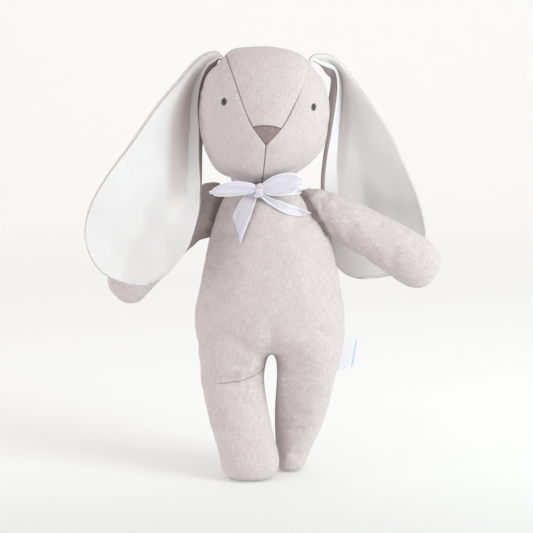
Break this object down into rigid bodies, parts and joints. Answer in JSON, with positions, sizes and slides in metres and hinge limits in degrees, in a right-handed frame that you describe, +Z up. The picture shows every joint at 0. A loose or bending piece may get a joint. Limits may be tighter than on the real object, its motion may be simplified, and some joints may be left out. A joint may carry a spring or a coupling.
{
  "type": "stuffed rabbit doll",
  "caption": "Long-eared stuffed rabbit doll sewn from plain linen, with lined floppy ears, soft jointed limbs and a ribbon tied in a bow at the neck.",
  "frame": {"origin": "on the floor under the middle of the rabbit, level with the soles of its feet", "axes": "+Z up from the soles to the crown, -Y the way the rabbit faces, +X to the rabbit's own left"},
  "size_m": [0.2846, 0.094, 0.3497],
  "materials": {
    "linen": "matte",
    "ear_lining": "matte",
    "nose_linen": "matte",
    "eye_thread": "satin",
    "ribbon": "satin",
    "label_tape": "satin",
    "filling": "matte"
  },
  "bodies": {
    "torso": {"torso_front": "linen", "torso_back_left": "linen", "torso_back_right": "linen", "torso_stuffing": "filling", "side_label": "label_tape", "ribbon_neck_band": "ribbon", "ribbon_knot": "ribbon", "ribbon_loop_left": "ribbon", "ribbon_loop_right": "ribbon", "ribbon_tail_left": "ribbon", "ribbon_tail_right": "ribbon"},
    "head": {"forehead_gusset": "linen", "nose_patch": "nose_linen", "cheek_left": "linen", "cheek_right": "linen", "head_back_left": "linen", "head_back_right": "linen", "head_stuffing": "filling", "eye_left": "eye_thread", "eye_right": "eye_thread"},
    "ear_left": {"ear_left_outer": "linen", "ear_left_lining": "ear_lining"},
    "ear_right": {"ear_right_outer": "linen", "ear_right_lining": "ear_lining"},
    "arm_left": {"arm_left_front": "linen", "arm_left_back": "linen", "arm_left_stuffing": "filling"},
    "arm_right": {"arm_right_front": "linen", "arm_right_back": "linen", "arm_right_stuffing": "filling"},
    "leg_left": {"leg_left_front": "linen", "leg_left_back": "linen", "leg_left_stuffing": "filling"},
    "leg_right": {"leg_right_front": "linen", "leg_right_back": "linen", "leg_right_stuffing": "filling"}
  },
  "joints": [
    {"name": "neck_tilt", "type": "hinge", "parent": "torso", "child": "head", "pos_m": [0, 0, 0.232], "axis": [0, 1, 0], "range_deg": [-10, 10]},
    {"name": "ear_left_lift", "type": "hinge", "parent": "head", "child": "ear_left", "pos_m": [0.04, 0, 0.343], "axis": [0, -0.9848, -0.1736], "range_deg": [0, 75]},
    {"name": "ear_right_lift", "type": "hinge", "parent": "head", "child": "ear_right", "pos_m": [-0.0375, 0, 0.343], "axis": [0, 0.9848, -0.1736], "range_deg": [0, 75]},
    {"name": "arm_left_raise", "type": "hinge", "parent": "torso", "child": "arm_left", "pos_m": [0.054, -0.005, 0.2135], "axis": [0, -1, 0], "range_deg": [-18, 42]},
    {"name": "arm_right_raise", "type": "hinge", "parent": "torso", "child": "arm_right", "pos_m": [-0.05, 0.005, 0.2135], "axis": [0, 1, 0], "range_deg": [-16, 54]},
    {"name": "leg_left_swing", "type": "hinge", "parent": "torso", "child": "leg_left", "pos_m": [0.0356, 0, 0.079], "axis": [-1, 0, 0], "range_deg": [-15, 85]},
    {"name": "leg_right_swing", "type": "hinge", "parent": "torso", "child": "leg_right", "pos_m": [-0.0244, 0, 0.079], "axis": [-1, 0, 0], "range_deg": [-30, 65]}
  ]
}
